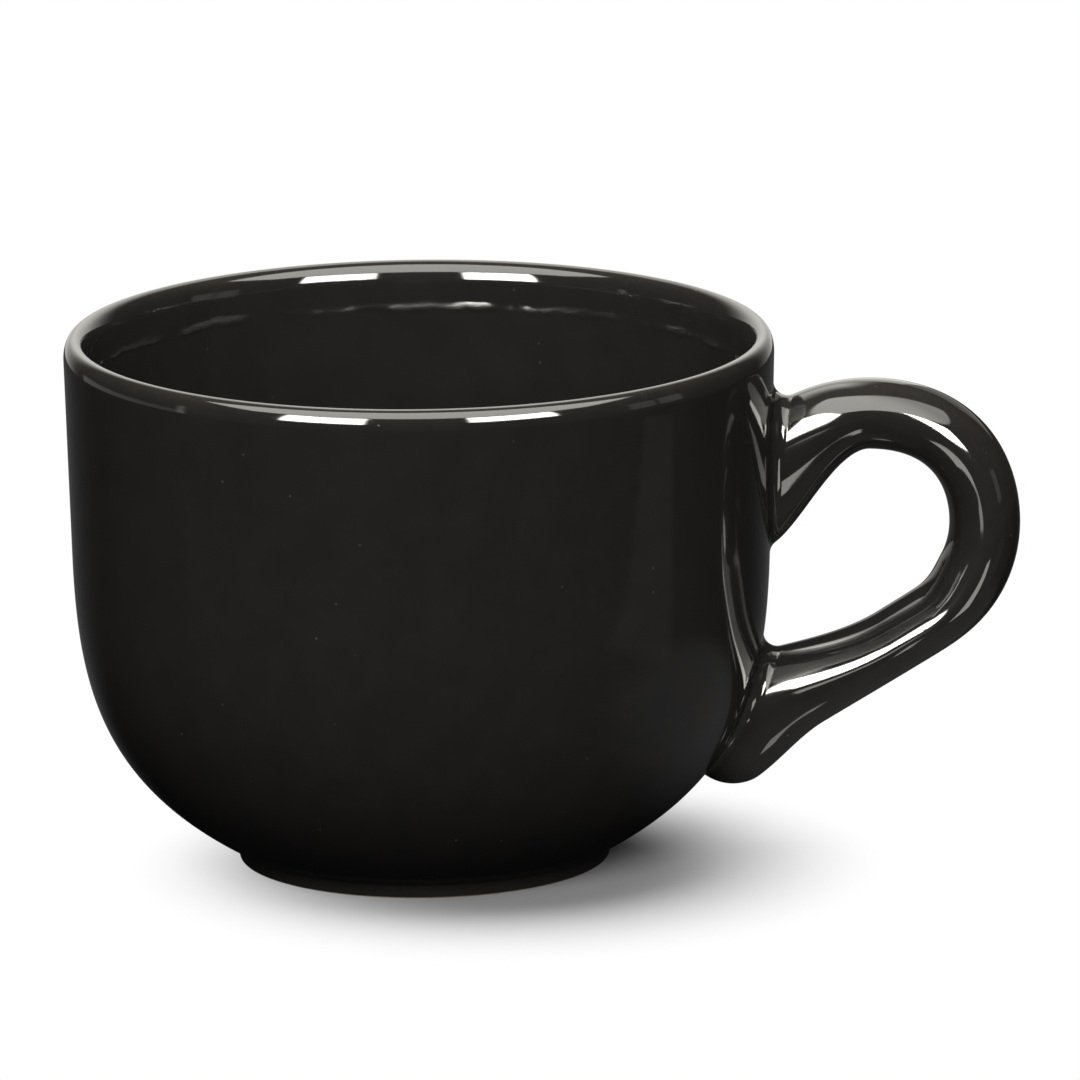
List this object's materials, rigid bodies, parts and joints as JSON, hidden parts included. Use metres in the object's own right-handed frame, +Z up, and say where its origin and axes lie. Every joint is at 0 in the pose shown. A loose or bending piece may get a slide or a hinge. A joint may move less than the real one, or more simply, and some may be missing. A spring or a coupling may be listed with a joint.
{
  "type": "latte mug",
  "caption": "Wide low black glazed stoneware mug on a narrow foot ring, with a round loop handle whose lower end lies along the bowl as a tail.",
  "frame": {"origin": "centre of the mug's footprint, handle included, on the surface it stands on", "axes": "+Z up along the bowl's axis, +X towards the handle"},
  "size_m": [0.1454, 0.108, 0.0814],
  "materials": {
    "black_glaze": "glossy black glaze over stoneware"
  },
  "bodies": {
    "root": {"bowl": "black_glaze", "handle": "black_glaze", "upper_slip_bead": "black_glaze", "lower_slip_bead": "black_glaze"}
  },
  "joints": []
}
